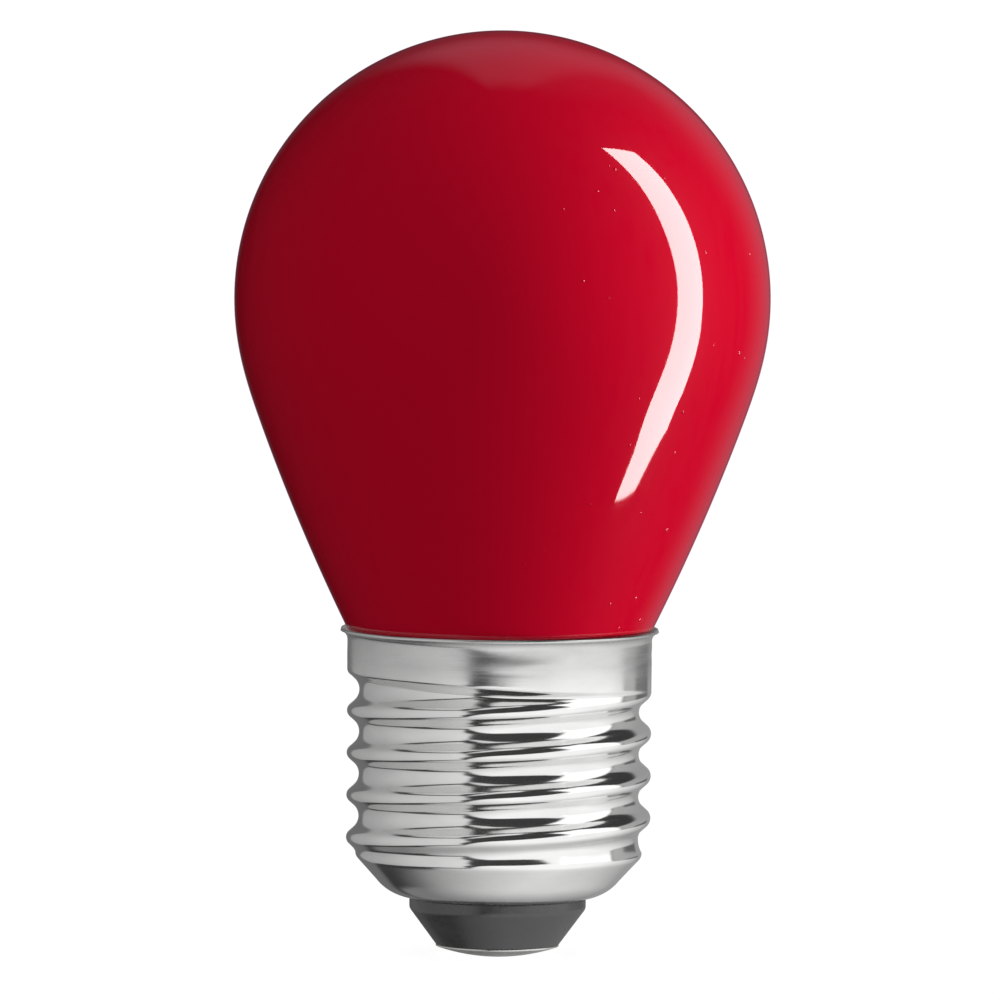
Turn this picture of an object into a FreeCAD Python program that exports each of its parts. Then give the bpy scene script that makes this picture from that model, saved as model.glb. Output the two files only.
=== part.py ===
import FreeCAD, Part
import math
import os

# Small LED globe lamp with an E27 screw cap. Sizes are in millimetres and angles in degrees.
# The axis is Z with the globe at the top, and the origin is the lowest point of the centre contact.
# Angles round the axis start at the right side, so the front is at 270 and the left side at 180.

# Globe: a sphere that runs into the cap along one long arc
GLOBE_RADIUS = 23.0
GLOBE_RISE = 29.22
NECK_SLOPE = 26.4
NECK_DEPTH = 7.0
NECK_END_ROUND = 3.0

# Cap: one rolled sheet, flared at the mouth and drawn in at the bottom
SHEET = 0.25
CREST_RADIUS = 13.05
SKIRT_HEIGHT = 2.16
FLARE_ROUND = 0.8
FLARE_ANGLE = 75.0
SHOULDER_HEIGHT = 3.82
SHOULDER_SLOPE = 52.5
SHOULDER_TOP_ROUND = 0.8
SHOULDER_BOTTOM_ROUND = 4.0
BOTTOM_FLAT = 0.65

# Thread: a right-hand wave. Its lowest ridge fades out, and its highest groove narrows to
# nothing under an edge that falls as the ridge below it rises.
THREAD_PITCH = 3.629
THREAD_DEPTH = 1.05
CREST_ROUND = 0.76
RIDGE_START_ANGLE = 180.0
RIDGE_START_RISE = 1.26
RIDGE_FADE = 270.0
GROOVE_EDGE_TURN = 3.0
GROOVE_EDGE_RISE = 16.38
GROOVE_EDGE_FALL = 4.6
GROOVE_EDGE_WIDTH = 1.1
LEAN = 0.12
LEAN_HEIGHT = 1.5

# Insulator
INSULATOR_RADIUS = 7.57
INSULATOR_BAND = 0.95
INSULATOR_CONE = 3.10
INSULATOR_FLANGE = 1.2

# Centre contact
CONTACT_RADIUS = 5.28
CONTACT_LAND_RADIUS = 1.75
CONTACT_DOME = 0.8
CONTACT_EDGE = 0.15
STEM_RADIUS = 1.6
STEM_STANDOUT = 1.0

# Clearances
GLASS_CLEARANCE = 0.05
FIT_CLEARANCE = 0.02

# How finely the rolled thread is drawn
SECTIONS = 72
POINTS_PER_PITCH = 12

# Places that follow from the sizes above
insulator_z = CONTACT_DOME + CONTACT_EDGE
cap_z = insulator_z + INSULATOR_CONE + INSULATOR_BAND
thread_z = cap_z + SHOULDER_HEIGHT
ridge_z = thread_z + RIDGE_START_RISE
skirt_z = thread_z + GROOVE_EDGE_RISE - GROOVE_EDGE_WIDTH / 4
flare_z = skirt_z + SKIRT_HEIGHT
flange_top_z = cap_z + SHEET + INSULATOR_FLANGE
root_radius = CREST_RADIUS - THREAD_DEPTH
flare_centre = (CREST_RADIUS + FLARE_ROUND, flare_z)


def sin(angle):
    return math.sin(math.radians(angle))


def cos(angle):
    return math.cos(math.radians(angle))


# The bottom round and the shoulder's small top round share the straight slope between them
bottom_round_z = cap_z + SHOULDER_BOTTOM_ROUND
shoulder_run = (SHOULDER_BOTTOM_ROUND - SHOULDER_TOP_ROUND
                + (thread_z - bottom_round_z) * cos(SHOULDER_SLOPE)) / sin(SHOULDER_SLOPE)
bottom_flat_radius = root_radius - SHOULDER_TOP_ROUND - shoulder_run
hole_radius = bottom_flat_radius - BOTTOM_FLAT


def point(radius, height, angle=0.0):
    return FreeCAD.Vector(radius * cos(angle), radius * sin(angle), height)


def line(start, end, angle=0.0):
    """Straight edge between two places given as radius and height."""
    return Part.LineSegment(point(*start, angle), point(*end, angle)).toShape()


def lines(places):
    return [line(start, end) for start, end in zip(places, places[1:])]


def on_round(centre, radius, direction):
    """Place on a round, as radius and height; the direction is measured up from outwards."""
    return (centre[0] + radius * cos(direction), centre[1] + radius * sin(direction))


def arc(centre, radius, start, end, angle=0.0):
    middle = (start + end) / 2
    places = [on_round(centre, radius, direction) for direction in (start, middle, end)]
    return Part.Arc(*[point(*place, angle) for place in places]).toShape()


def revolved(edges):
    """Solid made by turning a closed outline round the axis."""
    outline = Part.Face(Part.Wire(edges))
    return outline.revolve(FreeCAD.Vector(0, 0, 0), FreeCAD.Vector(0, 0, 1), 360)


def glass_globe():
    # The neck rests in the flare, a small clearance off the round that it is tangent to
    seat = on_round(flare_centre, FLARE_ROUND + SHEET + GLASS_CLEARANCE, 180 - NECK_SLOPE)

    # One long arc starts at the seat with the neck's slope and ends tangent to the sphere
    globe_centre = (0, flare_z + GLOBE_RISE)
    rise = globe_centre[1] - seat[1]
    taper = ((seat[0] ** 2 + rise ** 2 - GLOBE_RADIUS ** 2)
             / (2 * (seat[0] * cos(NECK_SLOPE) + rise * sin(NECK_SLOPE) - GLOBE_RADIUS)))
    taper_centre = on_round(seat, taper, 180 - NECK_SLOPE)
    sphere_slope = math.degrees(math.asin((taper_centre[1] - globe_centre[1])
                                          / (taper - GLOBE_RADIUS)))

    # Inside the cap the neck goes on as a cone to a rounded end
    end_z = seat[1] - NECK_DEPTH
    cone_end_z = end_z + NECK_END_ROUND * (1 - sin(NECK_SLOPE))
    cone_end_r = seat[0] - (seat[1] - cone_end_z) * sin(NECK_SLOPE) / cos(NECK_SLOPE)
    end_centre = on_round((cone_end_r, cone_end_z), NECK_END_ROUND, 180 - NECK_SLOPE)

    return revolved([
        arc(globe_centre, GLOBE_RADIUS, 90, -sphere_slope),
        arc(taper_centre, taper, -sphere_slope, -NECK_SLOPE),
        line(seat, (cone_end_r, cone_end_z)),
        arc(end_centre, NECK_END_ROUND, -NECK_SLOPE, -90),
        line((end_centre[0], end_z), (0, end_z)),
        line((0, end_z), (0, globe_centre[1] + GLOBE_RADIUS)),
    ])


def eased(share):
    """Runs smoothly from 0 to 1 as the share does."""
    share = min(max(share, 0.0), 1.0)
    return share * share * (3 - 2 * share)


def wave_height(from_crest, inset):
    """Height of the rolled wave above its root, from two tangent arcs.

    The inset is 0 on the outer face of the sheet and its thickness on the inner face.
    """
    half = THREAD_PITCH / 2
    both_rounds = (half ** 2 + THREAD_DEPTH ** 2) / (2 * THREAD_DEPTH)
    crest_round = CREST_ROUND - inset
    root_round = both_rounds - crest_round
    away = abs((from_crest + half) % THREAD_PITCH - half)
    if away <= half * crest_round / both_rounds:
        return THREAD_DEPTH - crest_round + math.sqrt(crest_round ** 2 - away ** 2)
    return root_round - math.sqrt(root_round ** 2 - (half - away) ** 2)


def thread_radius(height, angle, inset):
    """Radius of a face of the sheet at a height and an angle."""
    above_ridge = height - ridge_z - THREAD_PITCH * (angle - RIDGE_START_ANGLE) / 360
    ridge_turn = (angle - RIDGE_START_ANGLE) / 360 + round(above_ridge / THREAD_PITCH)
    groove_turn = (angle - RIDGE_START_ANGLE) / 360 + math.floor(above_ridge / THREAD_PITCH)
    ridge = eased(1 + ridge_turn * 360 / RIDGE_FADE)
    edge_z = thread_z + GROOVE_EDGE_RISE - GROOVE_EDGE_FALL * (groove_turn - GROOVE_EDGE_TURN)
    groove = eased((edge_z - height) / GROOVE_EDGE_WIDTH)
    hollow = THREAD_DEPTH - wave_height(above_ridge, inset)

    # The floor of the lowest groove leans out a little to the shoulder
    lean = LEAN * max(1 - (height - thread_z) / LEAN_HEIGHT, 0) ** 2
    return root_radius - inset + lean + ridge * (THREAD_DEPTH - lean - groove * (hollow - lean))


def cap_face(angle, inset):
    """Edges of one face of the sheet at an angle, from the hole in the bottom up to the lip."""
    bottom_z = cap_z + inset
    slope_side = SHOULDER_SLOPE - 90
    bottom_centre = (bottom_flat_radius, bottom_round_z)
    bottom_round = SHOULDER_BOTTOM_ROUND - inset
    top_round = SHOULDER_TOP_ROUND - inset

    steps = round((skirt_z - thread_z) / THREAD_PITCH * POINTS_PER_PITCH)
    heights = [thread_z + (skirt_z - thread_z) * step / steps for step in range(steps + 1)]
    radii = [thread_radius(height, angle, inset) for height in heights]
    thread = Part.BSplineCurve()
    thread.interpolate(Points=[point(*place, angle) for place in zip(radii, heights)],
                       Parameters=heights)

    top_centre = (radii[0] - top_round, thread_z)
    skirt = (CREST_RADIUS - inset, skirt_z)
    return [
        line((hole_radius, bottom_z), (bottom_flat_radius, bottom_z), angle),
        arc(bottom_centre, bottom_round, -90, slope_side, angle),
        line(on_round(bottom_centre, bottom_round, slope_side),
             on_round(top_centre, top_round, slope_side), angle),
        arc(top_centre, top_round, slope_side, 0, angle),
        thread.toShape(),
        line(skirt, (skirt[0], flare_z), angle),
        arc(flare_centre, FLARE_ROUND + inset, 180, 180 - FLARE_ANGLE, angle),
    ]


def screw_cap():
    """The closed section of the sheet is drawn at each angle and the sections are joined all round."""
    sections = []
    for number in range(SECTIONS):
        angle = 360 * number / SECTIONS
        outer = cap_face(angle, 0)
        inner = cap_face(angle, SHEET)
        lip = line(on_round(flare_centre, FLARE_ROUND, 180 - FLARE_ANGLE),
                   on_round(flare_centre, FLARE_ROUND + SHEET, 180 - FLARE_ANGLE), angle)
        hole = line((hole_radius, cap_z + SHEET), (hole_radius, cap_z), angle)
        sections.append(Part.Wire(outer + [lip] + inner[::-1] + [hole]))
    return Part.makeLoft(sections, True, True, True)


def cap_insulator():
    """Cone below the cap, a spigot through its hole and a flange that holds it from inside."""
    spigot_radius = hole_radius - FIT_CLEARANCE
    bore_radius = STEM_RADIUS + FIT_CLEARANCE
    return revolved(lines([
        (bore_radius, insulator_z),
        (CONTACT_RADIUS, insulator_z),
        (INSULATOR_RADIUS, insulator_z + INSULATOR_CONE),
        (INSULATOR_RADIUS, cap_z),
        (spigot_radius, cap_z),
        (spigot_radius, cap_z + SHEET),
        (bottom_flat_radius, cap_z + SHEET),
        (bottom_flat_radius, flange_top_z),
        (bore_radius, flange_top_z),
        (bore_radius, insulator_z),
    ]))


def centre_contact():
    """Domed button with a flat land, seated on the insulator, and a stem through it."""
    dome_centre_z = ((CONTACT_RADIUS ** 2 - CONTACT_LAND_RADIUS ** 2 + CONTACT_DOME ** 2)
                     / (2 * CONTACT_DOME))
    dome_radius = math.hypot(CONTACT_LAND_RADIUS, dome_centre_z)
    land_side = -math.degrees(math.acos(CONTACT_LAND_RADIUS / dome_radius))
    edge_side = -math.degrees(math.acos(CONTACT_RADIUS / dome_radius))
    stem_top_z = flange_top_z + STEM_STANDOUT
    return revolved([
        line((0, 0), (CONTACT_LAND_RADIUS, 0)),
        arc((0, dome_centre_z), dome_radius, land_side, edge_side),
    ] + lines([
        (CONTACT_RADIUS, CONTACT_DOME),
        (CONTACT_RADIUS, insulator_z),
        (STEM_RADIUS, insulator_z),
        (STEM_RADIUS, stem_top_z),
        (0, stem_top_z),
        (0, 0),
    ]))


def main():
    pieces = {
        "glass_globe": glass_globe(),
        "screw_cap": screw_cap(),
        "cap_insulator": cap_insulator(),
        "centre_contact": centre_contact(),
    }
    os.makedirs("parts", exist_ok=True)
    for name, shape in pieces.items():
        shape.exportStep("parts/" + name + ".step")
        box = shape.BoundBox
        print(name, "valid" if shape.isValid() else "NOT VALID", len(shape.Solids), "solid,",
              round(shape.Volume, 2), "mm3, height", round(box.ZMin, 3), "to", round(box.ZMax, 3),
              "width", round(box.XLength, 3))


main()
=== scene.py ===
import math

import bmesh
import bpy
import numpy as np
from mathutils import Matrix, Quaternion, Vector


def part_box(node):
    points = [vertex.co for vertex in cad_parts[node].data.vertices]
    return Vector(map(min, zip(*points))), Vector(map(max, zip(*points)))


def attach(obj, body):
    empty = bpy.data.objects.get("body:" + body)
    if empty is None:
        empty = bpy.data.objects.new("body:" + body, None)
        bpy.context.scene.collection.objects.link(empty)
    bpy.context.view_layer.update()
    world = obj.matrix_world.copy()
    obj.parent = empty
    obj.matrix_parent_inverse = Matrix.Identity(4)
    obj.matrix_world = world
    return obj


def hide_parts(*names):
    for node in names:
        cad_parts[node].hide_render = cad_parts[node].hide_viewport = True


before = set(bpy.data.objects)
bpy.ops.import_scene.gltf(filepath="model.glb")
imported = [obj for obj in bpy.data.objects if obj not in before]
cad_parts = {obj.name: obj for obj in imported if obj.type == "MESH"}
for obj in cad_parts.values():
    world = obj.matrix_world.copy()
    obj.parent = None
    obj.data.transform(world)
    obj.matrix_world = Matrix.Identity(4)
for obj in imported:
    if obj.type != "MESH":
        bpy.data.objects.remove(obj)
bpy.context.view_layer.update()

# Sizes are in metres. The bulb's axis is Z, and the camera looks along +Y.
MM = 0.001

# Camera: a long lens a little above the bulb, as the photograph was taken
PHOTO_WIDTH = 0.0856
LENS = 500.0
SENSOR = 36.0
CAMERA_ELEVATION = math.radians(3.9)
CAMERA_ROLL = math.radians(0.47)
AIM = Vector((-0.07 * MM, 0.0, 39.1 * MM))

# Softbox: an upright plane at the right, and its two sides from the bottom up, as (y, z) in mm
STRIP_DISTANCE = 0.8
STRIP_RADIANCE = 10.5
STRIP_ROWS = (
    ((-245, -660), (-235, -640)),
    ((-217, -600), (-75, -543)),
    ((-185, -545), (-20, -485)),
    ((-180, -472), (45, -425)),
    ((-172, -336), (62, -330)),
    ((-148, 0), (58, 0)),
    ((-137, 170), (72, 175)),
    ((-135, 420), (90, 420)),
    ((-119, 758), (105, 660)),
    ((-109, 1297), (106, 950)),
)

# Glass: a sphere that runs into the cap along one long arc
GLOBE_RADIUS = 23.0 * MM
GLOBE_RISE = 29.22 * MM
NECK_SLOPE = math.radians(26.4)
NECK_DEPTH = 7.0 * MM
NECK_END_ROUND = 3.0 * MM
BLEND = 6.0 * MM
GLASS_CLEARANCE = 0.05 * MM
BEAD_RISE = 0.05 * MM
BEAD_WIDTH = 0.2 * MM
BEAD_STANDOUT = 0.05 * MM
BEAD_LEAST = 0.03
BEAD_MIDDLE = math.radians(-80)
GLASS_STEPS = 560
GLASS_SPARE_STEPS = 160
GLASS_AROUND = 240
LACQUER_RED = (0.55, 0.0008, 0.0193, 1)

# Specks in the lacquer: degrees from the camera side, height in mm, radius in mm, and how oblong
NIBS = (
    (28.6, 68.29, 0.20, 1.0), (27.2, 68.55, 0.13, 1.0), (22.5, 66.51, 0.13, 1.4), (25.9, 64.93, 0.15, 1.0),
    (13.7, 65.05, 0.13, 1.0), (17.2, 59.07, 0.15, 1.0), (46.6, 62.68, 0.17, 0.7), (49.9, 61.22, 0.15, 1.0),
    (68.7, 60.77, 0.16, 0.8), (63.1, 52.46, 0.22, 1.0), (66.3, 51.97, 0.14, 1.0), (32.1, 48.98, 0.12, 1.0),
    (45.8, 47.69, 0.22, 0.6), (32.1, 45.02, 0.16, 1.0), (47.0, 44.14, 0.17, 1.0), (23.8, 39.98, 0.12, 3.0),
    (41.1, 39.02, 0.10, 1.0), (54.4, 37.35, 0.25, 1.0), (12.3, 36.10, 0.12, 2.2), (7.1, 34.80, 0.12, 1.0),
    (7.7, 33.57, 0.10, 1.0), (51.6, 31.47, 0.16, 1.0), (39.8, 31.10, 0.16, 1.0), (60.8, 29.41, 0.26, 1.4),
    (48.6, 28.89, 0.14, 1.0), (2.3, 28.29, 0.16, 0.5), (-37.6, 68.55, 0.12, 1.0), (-43.6, 50.65, 0.12, 1.0),
    (42.7, 67.46, 0.12, 1.0), (22.7, 57.62, 0.12, 1.6), (51.9, 53.34, 0.12, 1.0),
)

NIB_SIDES = 14
NIB_OUTLINE = ((1.0, -0.1), (0.8, 0.03), (0.55, 0.13), (0.28, 0.19))
NIB_TOP = 0.21
NIBS_BEHIND = 34

# Cap sheet and its thread
SHEET = 0.25 * MM
CREST_RADIUS = 13.05 * MM
THREAD_DEPTH = 1.05 * MM
THREAD_PITCH = 3.629 * MM
CREST_ROUND = 0.72 * MM
FLANK_SLOPE = math.radians(48)
RIDGE_START = math.pi
RIDGE_START_RISE = 1.26 * MM
RIDGE_FADE_TURNS = 0.75
GROOVE_EDGE_TURN = 3.0
GROOVE_EDGE_RISE = 16.38 * MM
GROOVE_EDGE_FALL = 4.6 * MM
GROOVE_EDGE_WIDTH = 1.1 * MM
LEAN = 0.12 * MM
LEAN_HEIGHT = 1.5 * MM
CAP_FLAT = 0.65 * MM
SHOULDER_HEIGHT = 3.82 * MM
SHOULDER_SLOPE = math.radians(52.5)
SHOULDER_TOP_ROUND = 0.8 * MM
SHOULDER_BOTTOM_ROUND = 4.0 * MM
FLARE_ROUND = 0.8 * MM
FLARE_ANGLE = math.radians(75)
RIPPLE = 0.016 * MM
RIPPLE_LENGTH = 2.2 * MM
RIPPLE_FALL = 1.2 * MM

# Cap mesh: points round the axis, rows per pitch of the thread's two faces, and rows of the skirt
CAP_AROUND = 288
OUTER_ROWS = 36
INNER_ROWS = 10
SKIRT_ROWS = 16

# Cap metal: its colour goes over from the thread's to the skirt's near the skirt's lower edge
THREAD_TONE = (0.83, 0.83, 0.825, 1)
SKIRT_TONE = (0.53, 0.53, 0.527, 1)
SKIRT_BLEND = (1.2 * MM, 0.6 * MM)

# Insulator and centre contact
INSULATOR_RADIUS = 7.57 * MM
INSULATOR_BAND = 0.95 * MM
FIT_CLEARANCE = 0.02 * MM
CONTACT_RADIUS = 5.28 * MM
CONTACT_LAND_RADIUS = 1.75 * MM
CONTACT_DOME = 0.8 * MM
STEM_RADIUS = 1.6 * MM
TURNED_AROUND = 160

# Room that the metal mirrors: azimuths with the elevation of an edge or the strength of a wall,
# but for the left wall's end, which has elevations with its azimuth
TABLE_EDGE = (
    (-180, -30), (-150, -36), (-141, -41), (-125, -50), (-108, -58), (-95, -62), (-85, -56), (-60, -52),
    (-30, -51), (-27, -47), (-22, -34), (-14, -16), (-6, -7), (8, -3), (20, 0), (37, 7), (53, 19), (57, 0),
    (105, 0), (110, -6), (150, -6), (156, -25), (180, -25),
)
LEFT_WALL_GLOW = ((-150, 0.33), (-114, 0.44), (-87, 0.56), (-55, 0.67), (-30, 0.76))
LEFT_WALL_FOOT = ((-150, -28), (-141, -31), (-125, -38), (-108, -43), (-90, -44))
LEFT_WALL_END = ((-40, -30), (-20, -28), (-4, -22), (30, -28), (63, -50))
CEILING_EDGE = ((-30, 33), (-8, 64), (52, 80))
CEILING_GLOW = ((-30, 0.7), (53, 1.1))
RIGHT_WALL_GLOW = ((108, 0.45), (150, 0.34), (180, 0.28))

# Both rooms are spheres of quads, with a white patch where the photograph's backdrop is
ROOM_STEP = 2
BACKDROP_PLACE = (180, -4)
BACKDROP_REACH = math.cos(math.radians(7))
BACKDROP_SOFTNESS = 0.013

# Floor under the bulb
FLOOR_SIZE = 12.0
FLOOR_GREY = 0.25
FLOOR_GLOW = 0.92

# Places that follow from the frame and the sizes above
TURN = 2 * math.pi
cap_low, cap_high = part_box("screw_cap")
insulator_low, insulator_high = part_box("cap_insulator")
contact_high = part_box("centre_contact")[1]
cap_z = cap_low[2]
thread_z = cap_z + SHOULDER_HEIGHT
ridge_z = thread_z + RIDGE_START_RISE
skirt_z = thread_z + GROOVE_EDGE_RISE - GROOVE_EDGE_WIDTH / 4
flare_z = cap_high[2] - (FLARE_ROUND + SHEET) * math.sin(FLARE_ANGLE)
root_radius = CREST_RADIUS - THREAD_DEPTH
slope_side = SHOULDER_SLOPE - math.pi / 2
bottom_round_z = cap_z + SHOULDER_BOTTOM_ROUND
shoulder_run = (SHOULDER_BOTTOM_ROUND - SHOULDER_TOP_ROUND
                + (thread_z - bottom_round_z) * math.cos(SHOULDER_SLOPE)) / math.sin(SHOULDER_SLOPE)
bottom_flat_radius = root_radius - SHOULDER_TOP_ROUND - shoulder_run
hole_radius = bottom_flat_radius - CAP_FLAT


def material(name):
    made = bpy.data.materials.new(name)
    made.use_nodes = True
    nodes = made.node_tree.nodes
    return made, nodes, made.node_tree.links, nodes["Principled BSDF"]


def grid_mesh(name, rings, closed_ring=False):
    """Mesh of rings of points round the axis; open ends that reach the axis are closed by fans."""
    around = len(rings[0])
    mesh = bpy.data.meshes.new(name)
    shape = bmesh.new()
    rows = [[shape.verts.new(place) for place in ring] for ring in rings]
    pairs = list(zip(rows, rows[1:]))
    if closed_ring:
        pairs.append((rows[-1], rows[0]))
    for low, high in pairs:
        for i in range(around):
            j = (i + 1) % around
            shape.faces.new((low[i], low[j], high[j], high[i]))
    if not closed_ring:
        for row, turn in ((rows[0], -1), (rows[-1], 1)):
            centre = sum((corner.co for corner in row), Vector()) / around
            hub = shape.verts.new(centre)
            for i in range(around):
                j = (i + 1) % around
                corners = (row[i], row[j], hub)
                shape.faces.new(corners[::turn])
    bmesh.ops.recalc_face_normals(shape, faces=shape.faces)
    for face in shape.faces:
        face.smooth = True
    shape.to_mesh(mesh)
    shape.free()
    piece = bpy.data.objects.new(name, mesh)
    bpy.context.scene.collection.objects.link(piece)
    return piece


def profile_rings(profile, around):
    """Rings round the axis through places given as radius and height."""
    angles = [TURN * i / around for i in range(around)]
    return [[(radius * math.cos(a), radius * math.sin(a), height) for a in angles]
            for radius, height in profile]


def on_round(centre, radius, direction):
    return (centre[0] + radius * math.cos(direction), centre[1] + radius * math.sin(direction))


def arc_places(centre, radius, start, end, steps):
    return [on_round(centre, radius, start + (end - start) * i / steps) for i in range(steps + 1)]


def finished(piece, node, finish):
    piece.data.materials.append(finish)
    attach(piece, "root")
    if node:
        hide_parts(node)


# Glass

def glass_profile():
    """Outline of the lacquered glass from the top of the globe to the end of its neck."""
    flare_centre = (CREST_RADIUS + FLARE_ROUND, flare_z)
    seat = on_round(flare_centre, FLARE_ROUND + SHEET + GLASS_CLEARANCE, math.pi - NECK_SLOPE)
    centre_z = flare_z + GLOBE_RISE
    rise = centre_z - seat[1]
    reach = seat[0] * math.cos(NECK_SLOPE) + rise * math.sin(NECK_SLOPE) - GLOBE_RADIUS
    taper = (seat[0] ** 2 + rise ** 2 - GLOBE_RADIUS ** 2) / (2 * reach)
    taper_centre = on_round(seat, taper, math.pi - NECK_SLOPE)
    sphere_slope = math.asin((taper_centre[1] - centre_z) / (taper - GLOBE_RADIUS))
    end_z = seat[1] - NECK_DEPTH
    cone_end_z = end_z + NECK_END_ROUND * (1 - math.sin(NECK_SLOPE))
    cone_end_r = seat[0] - (seat[1] - cone_end_z) * math.tan(NECK_SLOPE)
    end_centre = on_round((cone_end_r, cone_end_z), NECK_END_ROUND, math.pi - NECK_SLOPE)

    # The slope along the outline is smoothed, so that the sphere runs into the long arc unseen
    sphere_length = GLOBE_RADIUS * (math.pi / 2 + sphere_slope)
    length = sphere_length + taper * (NECK_SLOPE - sphere_slope)
    steps, spare = GLASS_STEPS, GLASS_SPARE_STEPS
    along = (np.arange(-spare, steps + spare) + 0.5) * length / steps
    slope = np.where(along < sphere_length, math.pi / 2 - along / GLOBE_RADIUS,
                     -sphere_slope - (along - sphere_length) / taper)
    window = np.hanning(2 * round(BLEND / length * steps) + 1)
    slope = np.convolve(slope, window / window.sum(), "same")[spare:-spare]
    radius = np.concatenate([[0], np.cumsum(np.sin(slope))]) * length / steps
    height = np.concatenate([[0], np.cumsum(-np.cos(slope))]) * length / steps
    share = np.linspace(0, 1, steps + 1)
    radius += (seat[0] - radius[-1]) * share
    height += centre_z + GLOBE_RADIUS + (seat[1] - centre_z - GLOBE_RADIUS - height[-1]) * share
    outline = list(zip(radius, height))[2::3]
    if outline[-1][1] > seat[1] + 0.1 * MM:
        outline.append((seat[0], seat[1]))
    end = arc_places(end_centre, NECK_END_ROUND, -NECK_SLOPE, -math.pi / 2, 8)
    return outline + end


def red_lacquer():
    """Opaque red under clear gloss; faint wipe marks run down it and show beside the highlight."""
    made, nodes, links, shader = material("red lacquer on glass")
    shader.inputs["Base Color"].default_value = LACQUER_RED
    shader.inputs["Specular IOR Level"].default_value = 0.02
    shader.inputs["Coat Weight"].default_value = 1.0
    shader.inputs["Coat Roughness"].default_value = 0.03
    shader.inputs["Coat IOR"].default_value = 1.65
    marks = noise(nodes, links, (900, 900, 60), 3.0)
    spread(nodes, links, marks, 0.35, 0.65, 0.28, 0.5, shader.inputs["Roughness"])
    return made


def noise(nodes, links, scale, detail):
    """Noise in the piece's own metres, with its own scale along each axis."""
    coords = nodes.new("ShaderNodeTexCoord")
    stretch = nodes.new("ShaderNodeMapping")
    stretch.inputs["Scale"].default_value = scale
    links.new(coords.outputs["Object"], stretch.inputs["Vector"])
    texture = nodes.new("ShaderNodeTexNoise")
    texture.inputs["Scale"].default_value = 1.0
    texture.inputs["Detail"].default_value = detail
    links.new(stretch.outputs["Vector"], texture.inputs["Vector"])
    return texture.outputs["Fac"]


def spread(nodes, links, value, low, high, to_low, to_high, socket):
    """Maps a value's range to another and feeds a socket with it."""
    ranged = nodes.new("ShaderNodeMapRange")
    for name, number in (("From Min", low), ("From Max", high), ("To Min", to_low), ("To Max", to_high)):
        ranged.inputs[name].default_value = number
    links.new(value, ranged.inputs["Value"])
    links.new(ranged.outputs["Result"], socket)
    return ranged.outputs["Result"]


def bumped(nodes, links, height, distance, shader):
    bump = nodes.new("ShaderNodeBump")
    bump.inputs["Distance"].default_value = distance
    links.new(height, bump.inputs["Height"])
    links.new(bump.outputs["Normal"], shader.inputs["Normal"])


glass_outline = glass_profile()
red_globe = grid_mesh("red_globe", profile_rings(glass_outline, GLASS_AROUND))
lacquer = red_lacquer()
finished(red_globe, "glass_globe", lacquer)


def glass_radius(height):
    """Radius of the glass at a height, and how fast it grows with height."""
    radii, heights = np.array(glass_outline[::-1]).T
    step = 0.1 * MM
    low, here, high = np.interp([height - step, height, height + step], heights, radii)
    return here, (high - low) / (2 * step)


def lacquer_nibs():
    """Specks under the lacquer: low domes at the places that the photograph shows, and more behind."""
    places = list(NIBS)
    random = np.random.default_rng(5)
    for _ in range(NIBS_BEHIND):
        places.append((random.uniform(95, 250), random.uniform(32, 76), random.uniform(0.10, 0.17), 1.0))
    shape = bmesh.new()
    for azimuth, height, size, length in places:
        radius, growth = glass_radius(height * MM)
        turn = math.radians(azimuth)
        out = Vector((math.sin(turn), -math.cos(turn), 0))
        normal = (out - Vector((0, 0, growth))).normalized()
        seat = out * radius + Vector((0, 0, height * MM))
        across = Vector((math.cos(turn), math.sin(turn), 0))
        along = normal.cross(across)
        rows = []
        for reach, rise in NIB_OUTLINE:
            row = []
            for i in range(NIB_SIDES):
                a = TURN * i / NIB_SIDES
                place = (across * math.cos(a) * length + along * math.sin(a)) * reach + normal * rise
                row.append(shape.verts.new(seat + place * size * MM))
            rows.append(row)
        tip = shape.verts.new(seat + normal * NIB_TOP * size * MM)
        for i in range(NIB_SIDES):
            j = (i + 1) % NIB_SIDES
            for low, high in zip(rows, rows[1:]):
                shape.faces.new((low[i], low[j], high[j], high[i]))
            shape.faces.new((rows[-1][i], rows[-1][j], tip))
    for face in shape.faces:
        face.smooth = True
    mesh = bpy.data.meshes.new("lacquer_nibs")
    shape.to_mesh(mesh)
    shape.free()
    piece = bpy.data.objects.new("lacquer_nibs", mesh)
    bpy.context.scene.collection.objects.link(piece)
    return piece


def lacquer_bead():
    """Thin edge where the lacquer ends just above the cap, fuller at the front."""
    height = cap_high[2] + BEAD_RISE
    radius, growth = glass_radius(height)
    lean = math.atan(growth)
    angles = np.linspace(0, TURN, GLASS_AROUND, endpoint=False)
    fullness = np.maximum(np.cos(angles - BEAD_MIDDLE), 0) ** 12
    standout = BEAD_STANDOUT * (BEAD_LEAST + (1 - BEAD_LEAST) * fullness)
    rings = []
    for i in range(9):
        a = math.pi * i / 8
        out, up = standout * (math.sin(a) - 0.3), BEAD_WIDTH / 2 * math.cos(a)
        reach = radius + out * math.cos(lean) + up * math.sin(lean)
        level = height + up * math.cos(lean) - out * math.sin(lean)
        rings.append([(r * math.cos(b), r * math.sin(b), z) for r, b, z in zip(reach, angles, level)])
    return grid_mesh("lacquer_bead", rings, closed_ring=True)


nibs = lacquer_nibs()
finished(nibs, None, lacquer)
bead = lacquer_bead()
finished(bead, None, lacquer)


# Cap

def eased(share):
    share = np.clip(share, 0, 1)
    return share * share * (3 - 2 * share)


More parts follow.
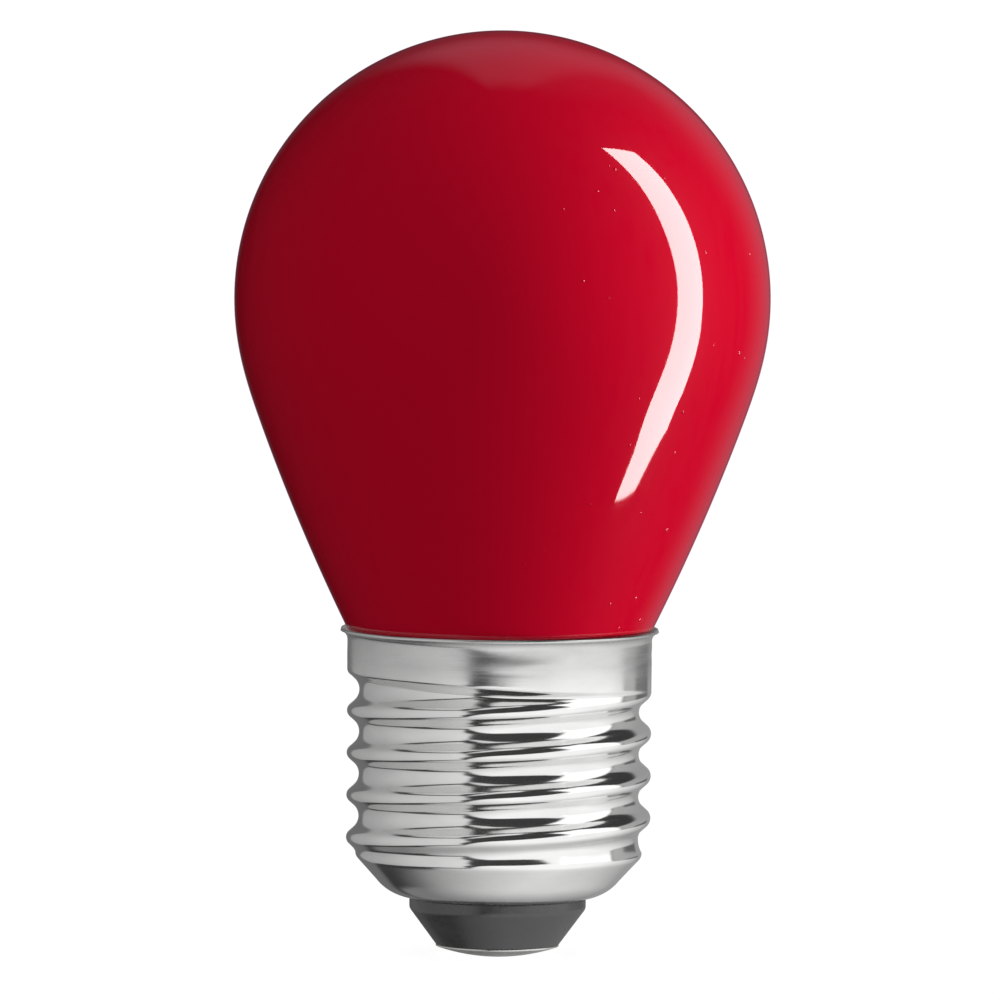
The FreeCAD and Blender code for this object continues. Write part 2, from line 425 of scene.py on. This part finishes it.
def wave_height(from_crest, inset):
    """Height of the rolled wave above its root, from two arcs and the straight flank between them."""
    half = THREAD_PITCH / 2
    sine, cosine = math.sin(FLANK_SLOPE), math.cos(FLANK_SLOPE)
    flank = THREAD_DEPTH * sine / (1 - cosine) - half
    both_rounds = (half - flank * cosine) / sine
    crest_round = CREST_ROUND - inset
    root_round = both_rounds - crest_round
    away = np.abs((from_crest + half) % THREAD_PITCH - half)
    crest = THREAD_DEPTH - crest_round + np.sqrt(np.maximum(crest_round ** 2 - away ** 2, 0))
    root = root_round - np.sqrt(np.maximum(root_round ** 2 - (half - away) ** 2, 0))
    straight = (THREAD_DEPTH - crest_round * (1 - cosine)
                - (away - crest_round * sine) * math.tan(FLANK_SLOPE))
    return np.where(away <= crest_round * sine, crest,
                    np.where(half - away <= root_round * sine, root, straight))


def thread_radius(height, angle, inset):
    """Radius of a face of the sheet at a height and an angle."""
    above_ridge = height - ridge_z - THREAD_PITCH * (angle - RIDGE_START) / TURN
    ridge_turn = (angle - RIDGE_START) / TURN + np.round(above_ridge / THREAD_PITCH)
    groove_turn = (angle - RIDGE_START) / TURN + np.floor(above_ridge / THREAD_PITCH)
    ridge = eased(1 + ridge_turn / RIDGE_FADE_TURNS)
    edge_z = thread_z + GROOVE_EDGE_RISE - GROOVE_EDGE_FALL * (groove_turn - GROOVE_EDGE_TURN)
    groove = eased((edge_z - height) / GROOVE_EDGE_WIDTH)
    hollow = THREAD_DEPTH - wave_height(above_ridge, inset)
    lean = LEAN * np.maximum(1 - (height - thread_z) / LEAN_HEIGHT, 0) ** 2
    return root_radius - inset + lean + ridge * (THREAD_DEPTH - lean - groove * (hollow - lean))


def skirt_ripple(height, angles):
    """The skirt isn't quite straight, which shows as clouds in what it mirrors."""
    from_top = (flare_z - height) / (flare_z - skirt_z)
    ends = 4 * from_top * (1 - from_top)
    wave = math.cos(TURN * (flare_z - RIPPLE_FALL - height) / RIPPLE_LENGTH)
    return RIPPLE * ends * (1.6 * wave * np.sin(-angles - 0.6) + 0.3 * np.sin(5 * angles + 1.0)
                            + 0.3 * np.sin(8 * angles + 9 * from_top))


def cap_face(inset, angles):
    """Rings of one face of the sheet, from the hole in the bottom up to the lip."""
    rings = [(np.full_like(angles, hole_radius), cap_z + inset)]
    for radius, height in arc_places((bottom_flat_radius, bottom_round_z), SHOULDER_BOTTOM_ROUND - inset,
                                     -math.pi / 2, slope_side, 10):
        rings.append((np.full_like(angles, radius), height))
    start = thread_radius(np.full_like(angles, thread_z), angles, inset)
    top_round = SHOULDER_TOP_ROUND - inset
    first = rings[-1]
    for i in range(1, 8):
        share = i / 8
        radius = first[0] * (1 - share) + (start - top_round + top_round * math.cos(slope_side)) * share
        height = first[1] * (1 - share) + (thread_z + top_round * math.sin(slope_side)) * share
        rings.append((radius, height))
    for i in range(5):
        direction = slope_side * (1 - i / 5)
        rings.append((start - top_round + top_round * math.cos(direction),
                      thread_z + top_round * math.sin(direction)))
    steps = round((skirt_z - thread_z) / THREAD_PITCH * (INNER_ROWS if inset else OUTER_ROWS))
    for i in range(steps + 1):
        height = thread_z + (skirt_z - thread_z) * i / steps
        rings.append((thread_radius(np.full_like(angles, height), angles, inset), height))
    for i in range(1, SKIRT_ROWS):
        height = skirt_z + (flare_z - skirt_z) * i / SKIRT_ROWS
        rings.append((CREST_RADIUS - inset + skirt_ripple(height, angles), height))
    flare_centre = (CREST_RADIUS + FLARE_ROUND, flare_z)
    for radius, height in arc_places(flare_centre, FLARE_ROUND + inset,
                                     math.pi, math.pi - FLARE_ANGLE, 8):
        rings.append((np.full_like(angles, radius), height))
    return [[(r * math.cos(a), r * math.sin(a), height) for r, a in zip(radius, angles)]
            for radius, height in rings]


def cap_metal():
    """Bright nickel, a little dull on the plain skirt, with faint drawing lines round it."""
    made, nodes, links, shader = material("nickel plate")
    shader.inputs["Metallic"].default_value = 1.0
    coords = nodes.new("ShaderNodeTexCoord")
    split = nodes.new("ShaderNodeSeparateXYZ")
    links.new(coords.outputs["Object"], split.inputs["Vector"])
    stain = noise(nodes, links, (160, 160, 420), 4.0)
    dulled = nodes.new("ShaderNodeMath")
    spread(nodes, links, stain, 0.3, 0.7, 0.0, 0.35, dulled.inputs[0])
    skirt_start, skirt_full = skirt_z - SKIRT_BLEND[0], skirt_z + SKIRT_BLEND[1]
    spread(nodes, links, split.outputs["Z"], skirt_start, skirt_full, 0.0, 0.65, dulled.inputs[1])
    tone = nodes.new("ShaderNodeMix")
    tone.data_type = "RGBA"
    tone.inputs["A"].default_value = THREAD_TONE
    tone.inputs["B"].default_value = SKIRT_TONE
    links.new(dulled.outputs["Value"], tone.inputs["Factor"])
    links.new(tone.outputs["Result"], shader.inputs["Base Color"])
    lines = noise(nodes, links, (120, 120, 9000), 2.0)
    total = nodes.new("ShaderNodeMath")
    spread(nodes, links, split.outputs["Z"], skirt_start, skirt_full, 0.105, 0.25, total.inputs[0])
    spread(nodes, links, lines, 0.3, 0.7, -0.02, 0.03, total.inputs[1])
    links.new(total.outputs["Value"], shader.inputs["Roughness"])
    bumped(nodes, links, noise(nodes, links, (700, 700, 900), 3.0), 0.004 * MM, shader)
    return made


cap_angles = np.linspace(0, TURN, CAP_AROUND, endpoint=False)
cap_rings = cap_face(0, cap_angles) + cap_face(SHEET, cap_angles)[::-1]
rolled_cap = grid_mesh("rolled_cap", cap_rings, closed_ring=True)
finished(rolled_cap, "screw_cap", cap_metal())


# Insulator and contact

def rounded(corners, closed):
    """Outline through corners given as radius, height and how far each rounding reaches."""
    outline = []
    count = len(corners)
    for i, (radius, height, reach) in enumerate(corners):
        corner = Vector((radius, height))
        if reach:
            before = (Vector(corners[i - 1][:2]) - corner).normalized() * reach
            after = (Vector(corners[(i + 1) % count][:2]) - corner).normalized() * reach
            for k in range(7):
                t = k / 6
                outline.append(corner + before * (1 - t) ** 2 + after * t ** 2)
        else:
            outline.append(corner)
    ends = outline[1:] + outline[:1] if closed else outline[1:]
    fine = []
    for start, end in zip(outline, ends):
        steps = 1 if (end - start).length < 0.12 * MM else 8
        fine += [tuple(start.lerp(end, k / steps)) for k in range(steps)]
    return fine if closed else fine + [tuple(outline[-1])]


def insulator_finish():
    made, nodes, links, shader = material("black moulded insulator")
    shader.inputs["Specular IOR Level"].default_value = 1.0
    tone = nodes.new("ShaderNodeMix")
    tone.data_type = "RGBA"
    tone.inputs["A"].default_value = (0.022, 0.022, 0.023, 1)
    tone.inputs["B"].default_value = (0.036, 0.036, 0.037, 1)
    spread(nodes, links, noise(nodes, links, (500, 500, 500), 4.0), 0.3, 0.7, 0.0, 1.0,
           tone.inputs["Factor"])
    links.new(tone.outputs["Result"], shader.inputs["Base Color"])
    spread(nodes, links, noise(nodes, links, (1500, 1500, 2500), 2.0), 0.3, 0.7, 0.26, 0.36,
           shader.inputs["Roughness"])
    bumped(nodes, links, noise(nodes, links, (2500, 2500, 2500), 2.0), 0.004 * MM, shader)
    return made


def contact_finish():
    made, nodes, links, shader = material("dull contact metal")
    shader.inputs["Metallic"].default_value = 1.0
    tone = nodes.new("ShaderNodeMix")
    tone.data_type = "RGBA"
    tone.inputs["A"].default_value = (0.52, 0.515, 0.50, 1)
    tone.inputs["B"].default_value = (0.66, 0.655, 0.64, 1)
    spread(nodes, links, noise(nodes, links, (400, 400, 400), 4.0), 0.3, 0.7, 0.0, 1.0,
           tone.inputs["Factor"])
    links.new(tone.outputs["Result"], shader.inputs["Base Color"])
    spread(nodes, links, noise(nodes, links, (1200, 1200, 1200), 3.0), 0.3, 0.7, 0.2, 0.34,
           shader.inputs["Roughness"])
    bumped(nodes, links, noise(nodes, links, (900, 900, 900), 3.0), 0.006 * MM, shader)
    return made


def moulded_insulator():
    low = insulator_low[2]
    bore = STEM_RADIUS + FIT_CLEARANCE
    spigot = hole_radius - FIT_CLEARANCE
    return rounded([
        (bore, low, 0),
        (CONTACT_RADIUS, low, 0.08 * MM),
        (INSULATOR_RADIUS, cap_z - INSULATOR_BAND, 0.22 * MM),
        (INSULATOR_RADIUS, cap_z, 0.14 * MM),
        (spigot, cap_z, 0),
        (spigot, cap_z + SHEET, 0),
        (bottom_flat_radius, cap_z + SHEET, 0.05 * MM),
        (bottom_flat_radius, insulator_high[2], 0.1 * MM),
        (bore, insulator_high[2], 0.1 * MM),
    ], True)


def domed_contact():
    centre_z = (CONTACT_RADIUS ** 2 - CONTACT_LAND_RADIUS ** 2 + CONTACT_DOME ** 2) / (2 * CONTACT_DOME)
    radius = math.hypot(CONTACT_LAND_RADIUS, centre_z)
    dome = arc_places((0, centre_z), radius, -math.acos(CONTACT_LAND_RADIUS / radius),
                      -math.acos((CONTACT_RADIUS - 0.05 * MM) / radius), 14)
    seat = insulator_low[2]
    land = [(0.2 * MM, 0), (0.8 * MM, 0), (CONTACT_LAND_RADIUS - 0.2 * MM, 0)]
    rim = rounded([(dome[-1][0], dome[-1][1], 0), (CONTACT_RADIUS, CONTACT_DOME, 0.05 * MM),
                   (CONTACT_RADIUS, seat, 0.05 * MM), (STEM_RADIUS, seat, 0.05 * MM),
                   (STEM_RADIUS, contact_high[2], 0.2 * MM), (0.2 * MM, contact_high[2], 0)], False)
    return land + dome[:-1] + rim


insulator_rings = profile_rings(moulded_insulator(), TURNED_AROUND)
insulator = grid_mesh("moulded_insulator", insulator_rings, closed_ring=True)
finished(insulator, "cap_insulator", insulator_finish())
contact = grid_mesh("domed_contact", profile_rings(domed_contact(), TURNED_AROUND))
finished(contact, "centre_contact", contact_finish())


# Studio. Directions are an azimuth from the camera side, positive to the right, and an elevation.

def direction(azimuth, elevation):
    azimuth, elevation = math.radians(azimuth), math.radians(elevation)
    return Vector((math.sin(azimuth) * math.cos(elevation),
                   -math.cos(azimuth) * math.cos(elevation), math.sin(elevation)))


def receivers(name, pieces):
    group = bpy.data.collections.new(name)
    for piece in pieces:
        group.objects.link(piece)
    return group


def rising(value, edge, width):
    """0 below an edge and 1 above it, over a soft width."""
    return eased((value - edge) / width + 0.5)


def between(value, low, high, width):
    return rising(value, low, width) * (1 - rising(value, high, width))


def read_off(value, places):
    """Second number of the places at a value of their first one."""
    return np.interp(value, *zip(*places))


def glow_material(name, strength, colour, clear=True):
    """Light that a ray passes through where it is clear, so that it doesn't hide what is behind it."""
    made, nodes, links, shader = material(name)
    nodes.remove(shader)
    glow = nodes.new("ShaderNodeEmission")
    glow.inputs["Color"].default_value = colour
    if strength:
        glow.inputs["Strength"].default_value = strength
    else:
        level = nodes.new("ShaderNodeAttribute")
        level.attribute_name = "glow"
        links.new(level.outputs["Fac"], glow.inputs["Strength"])
        made.cycles.emission_sampling = "NONE"
    surface = glow.outputs["Emission"]
    if clear:
        through = nodes.new("ShaderNodeBsdfTransparent")
        both = nodes.new("ShaderNodeAddShader")
        links.new(surface, both.inputs[0])
        links.new(through.outputs["BSDF"], both.inputs[1])
        surface = both.outputs["Shader"]
    links.new(surface, nodes["Material Output"].inputs["Surface"])
    return made


def add_floor():
    """Floor that looks white and keeps a faint shadow; from below the bulb is seen through it."""
    bpy.ops.mesh.primitive_plane_add(size=FLOOR_SIZE, location=(0, 0, 0))
    floor = bpy.context.object
    floor.name = "floor"
    made, nodes, links, shader = material("pale floor")
    shader.inputs["Base Color"].default_value = (FLOOR_GREY, FLOOR_GREY, FLOOR_GREY, 1)
    shader.inputs["Roughness"].default_value = 0.9
    shader.inputs["Specular IOR Level"].default_value = 0.0
    glow = nodes.new("ShaderNodeEmission")
    glow.inputs["Strength"].default_value = FLOOR_GLOW
    both = nodes.new("ShaderNodeAddShader")
    links.new(shader.outputs["BSDF"], both.inputs[0])
    links.new(glow.outputs["Emission"], both.inputs[1])
    side = nodes.new("ShaderNodeNewGeometry")
    through = nodes.new("ShaderNodeBsdfTransparent")
    mix = nodes.new("ShaderNodeMixShader")
    links.new(side.outputs["Backfacing"], mix.inputs["Fac"])
    links.new(both.outputs["Shader"], mix.inputs[1])
    links.new(through.outputs["BSDF"], mix.inputs[2])
    links.new(mix.outputs["Shader"], nodes["Material Output"].inputs["Surface"])
    made.cycles.emission_sampling = "NONE"
    floor.data.materials.append(made)
    floor.visible_glossy = False
    floor.visible_diffuse = False
    floor.visible_shadow = False


def add_strip(pieces):
    """Tall softbox at the right that leans back a little; its outline is the globe's highlight."""
    mesh = bpy.data.meshes.new("strip")
    shape = bmesh.new()
    rows = [[shape.verts.new((STRIP_DISTANCE, y * MM, z * MM)) for y, z in row] for row in STRIP_ROWS]
    for low, high in zip(rows, rows[1:]):
        shape.faces.new((low[0], low[1], high[1], high[0]))
    shape.to_mesh(mesh)
    shape.free()
    strip = bpy.data.objects.new("strip", mesh)
    bpy.context.scene.collection.objects.link(strip)
    mesh.materials.append(glow_material("strip light", STRIP_RADIANCE, (1, 1, 1, 1)))
    strip.visible_camera = False
    strip.light_linking.receiver_collection = receivers("strip lights", pieces)


def add_surroundings(name, pieces, colour, glow, radius, clear):
    """Room that only these pieces mirror, drawn on a sphere whose strength goes by direction."""
    rings = []
    for elevation in range(-89, 90, ROOM_STEP):
        rings.append([direction(azimuth, elevation) * radius for azimuth in range(0, 360, ROOM_STEP)])
    room = grid_mesh(name, rings)
    mesh = room.data
    places = np.empty(len(mesh.vertices) * 3)
    mesh.vertices.foreach_get("co", places)
    places = places.reshape(-1, 3) / radius
    azimuth = np.degrees(np.arctan2(places[:, 0], -places[:, 1]))
    elevation = np.degrees(np.arcsin(np.clip(places[:, 2], -1, 1)))
    backdrop = rising(places @ direction(*BACKDROP_PLACE), BACKDROP_REACH, BACKDROP_SOFTNESS)
    strength = np.maximum(glow(azimuth, elevation, places), backdrop)
    mesh.attributes.new("glow", "FLOAT", "POINT").data.foreach_set("value", strength)
    mesh.materials.append(glow_material(name, None, colour, clear))
    room.location = (0, 0, 0.02)
    room.visible_camera = False
    room.visible_diffuse = False
    room.visible_shadow = False
    room.light_linking.receiver_collection = receivers(name + " lights", pieces)


def glass_room(azimuth, elevation, places):
    """Dim light behind the bulb, mostly on the right and overhead."""
    behind = azimuth % 360
    band = 0.15 * rising(behind, 138, 30) * (1 - rising(behind, 196, 12)) * (1 - rising(elevation, 72, 12))
    shade = rising(behind, 168, 10) * (1 - rising(elevation, 28, 16))
    above = 0.06 * rising(behind, 160, 16) * (1 - rising(behind, 198, 8)) * rising(elevation, 36, 16)
    band *= 1 - 0.7 * rising(elevation, 30, 20) * (1 - rising(behind, 156, 14))
    return band * (1 - 0.75 * shade) + above * (1 - rising(elevation, 74, 10)) + 0.004


def metal_room(azimuth, elevation, places):
    """Table, walls, a window at the right, a ceiling, and the dark side where the camera stands."""
    table = np.clip(0.607 + 0.52 * places[:, 0] - 0.515 * places[:, 1], 0.17, 1.1)
    table_edge = read_off(azimuth, TABLE_EDGE)
    strength = table * (1 - rising(elevation, table_edge, 4))
    left_wall = between(azimuth, -150, read_off(elevation, LEFT_WALL_END), 4)
    left_wall *= (rising(elevation, read_off(azimuth, LEFT_WALL_FOOT), 4)
                  * (1 - between(elevation, 43, 51, 2)))
    strength += read_off(azimuth, LEFT_WALL_GLOW) * left_wall
    window = 1.05 + 0.3 * rising(elevation, 4, 10)
    strength += window * between(azimuth, 55, 106, 4) * between(elevation, 0, 60, 4)
    ceiling = between(azimuth, -30, 106, 4) * rising(elevation, read_off(azimuth, CEILING_EDGE), 4)
    strength += read_off(azimuth, CEILING_GLOW) * ceiling
    right_wall = rising(azimuth, 108, 4) * between(elevation, table_edge, 26, 4)
    doorway = between(azimuth, 126, 152, 6) * between(elevation, -7, 2, 3)
    strength += read_off(azimuth, RIGHT_WALL_GLOW) * right_wall * (1 - 0.75 * doorway)
    strength += 0.12 * (1 - rising(azimuth, -150, 4)) * rising(elevation, -30, 8)
    return strength + 0.045


def add_world():
    """White to the camera and to mirrors; the bulb is lit by a plain grey room."""
    world = bpy.data.worlds.new("studio")
    bpy.context.scene.world = world
    world.use_nodes = True
    nodes, links = world.node_tree.nodes, world.node_tree.links
    nodes.clear()
    coords = nodes.new("ShaderNodeTexCoord")

    def background(value):
        node = nodes.new("ShaderNodeBackground")
        if isinstance(value, (int, float)):
            node.inputs["Strength"].default_value = value
        else:
            links.new(value, node.inputs["Strength"])
        node.inputs["Color"].default_value = (1, 1, 1, 1)
        return node.outputs["Background"]

    def mixed(share, first, second):
        node = nodes.new("ShaderNodeMixShader")
        links.new(share, node.inputs["Fac"])
        links.new(first, node.inputs[1])
        links.new(second, node.inputs[2])
        return node.outputs["Shader"]

    split = nodes.new("ShaderNodeSeparateXYZ")
    links.new(coords.outputs["Generated"], split.inputs["Vector"])
    room = nodes.new("ShaderNodeMapRange")
    room.inputs["From Min"].default_value = -1.0
    room.inputs["To Min"].default_value = 0.60
    room.inputs["To Max"].default_value = 0.25
    links.new(split.outputs["Y"], room.inputs["Value"])
    down = nodes.new("ShaderNodeMapRange")
    down.inputs["From Min"].default_value = -1.0
    down.inputs["To Min"].default_value = 0.72
    down.inputs["To Max"].default_value = 1.12
    links.new(split.outputs["Z"], down.inputs["Value"])
    both = nodes.new("ShaderNodeMath")
    both.operation = "MULTIPLY"
    links.new(room.outputs["Result"], both.inputs[0])
    links.new(down.outputs["Result"], both.inputs[1])

    path = nodes.new("ShaderNodeLightPath")
    lit = background(both.outputs["Value"])
    for ray in ("Is Glossy Ray", "Is Transmission Ray", "Is Camera Ray"):
        lit = mixed(path.outputs[ray], lit, background(1.0))
    out = nodes.new("ShaderNodeOutputWorld")
    links.new(lit, out.inputs["Surface"])


def add_lights():
    glass = [red_globe, nibs]
    metal = [rolled_cap, insulator, contact, bead]
    add_strip(glass)
    add_surroundings("room round the glass", glass, (1.0, 0.8, 1.0, 1), glass_room, 3.0, True)
    add_surroundings("room round the metal", metal, (1.0, 1.0, 1.0, 1), metal_room, 3.2, False)


def add_camera():
    data = bpy.data.cameras.new("camera")
    data.lens = LENS
    data.sensor_width = SENSOR
    data.clip_end = 100
    camera = bpy.data.objects.new("camera", data)
    bpy.context.scene.collection.objects.link(camera)
    back = Vector((0, -math.cos(CAMERA_ELEVATION), math.sin(CAMERA_ELEVATION)))
    camera.location = AIM + back * (PHOTO_WIDTH * LENS / SENSOR)
    camera.rotation_mode = "QUATERNION"
    level = (-back).to_track_quat("-Z", "Y")
    camera.rotation_quaternion = level @ Quaternion((0, 0, 1), CAMERA_ROLL)
    bpy.context.scene.camera = camera


red_globe.visible_glossy = False
add_floor()
add_world()
add_lights()
add_camera()
bpy.context.scene.view_settings.view_transform = "Standard"
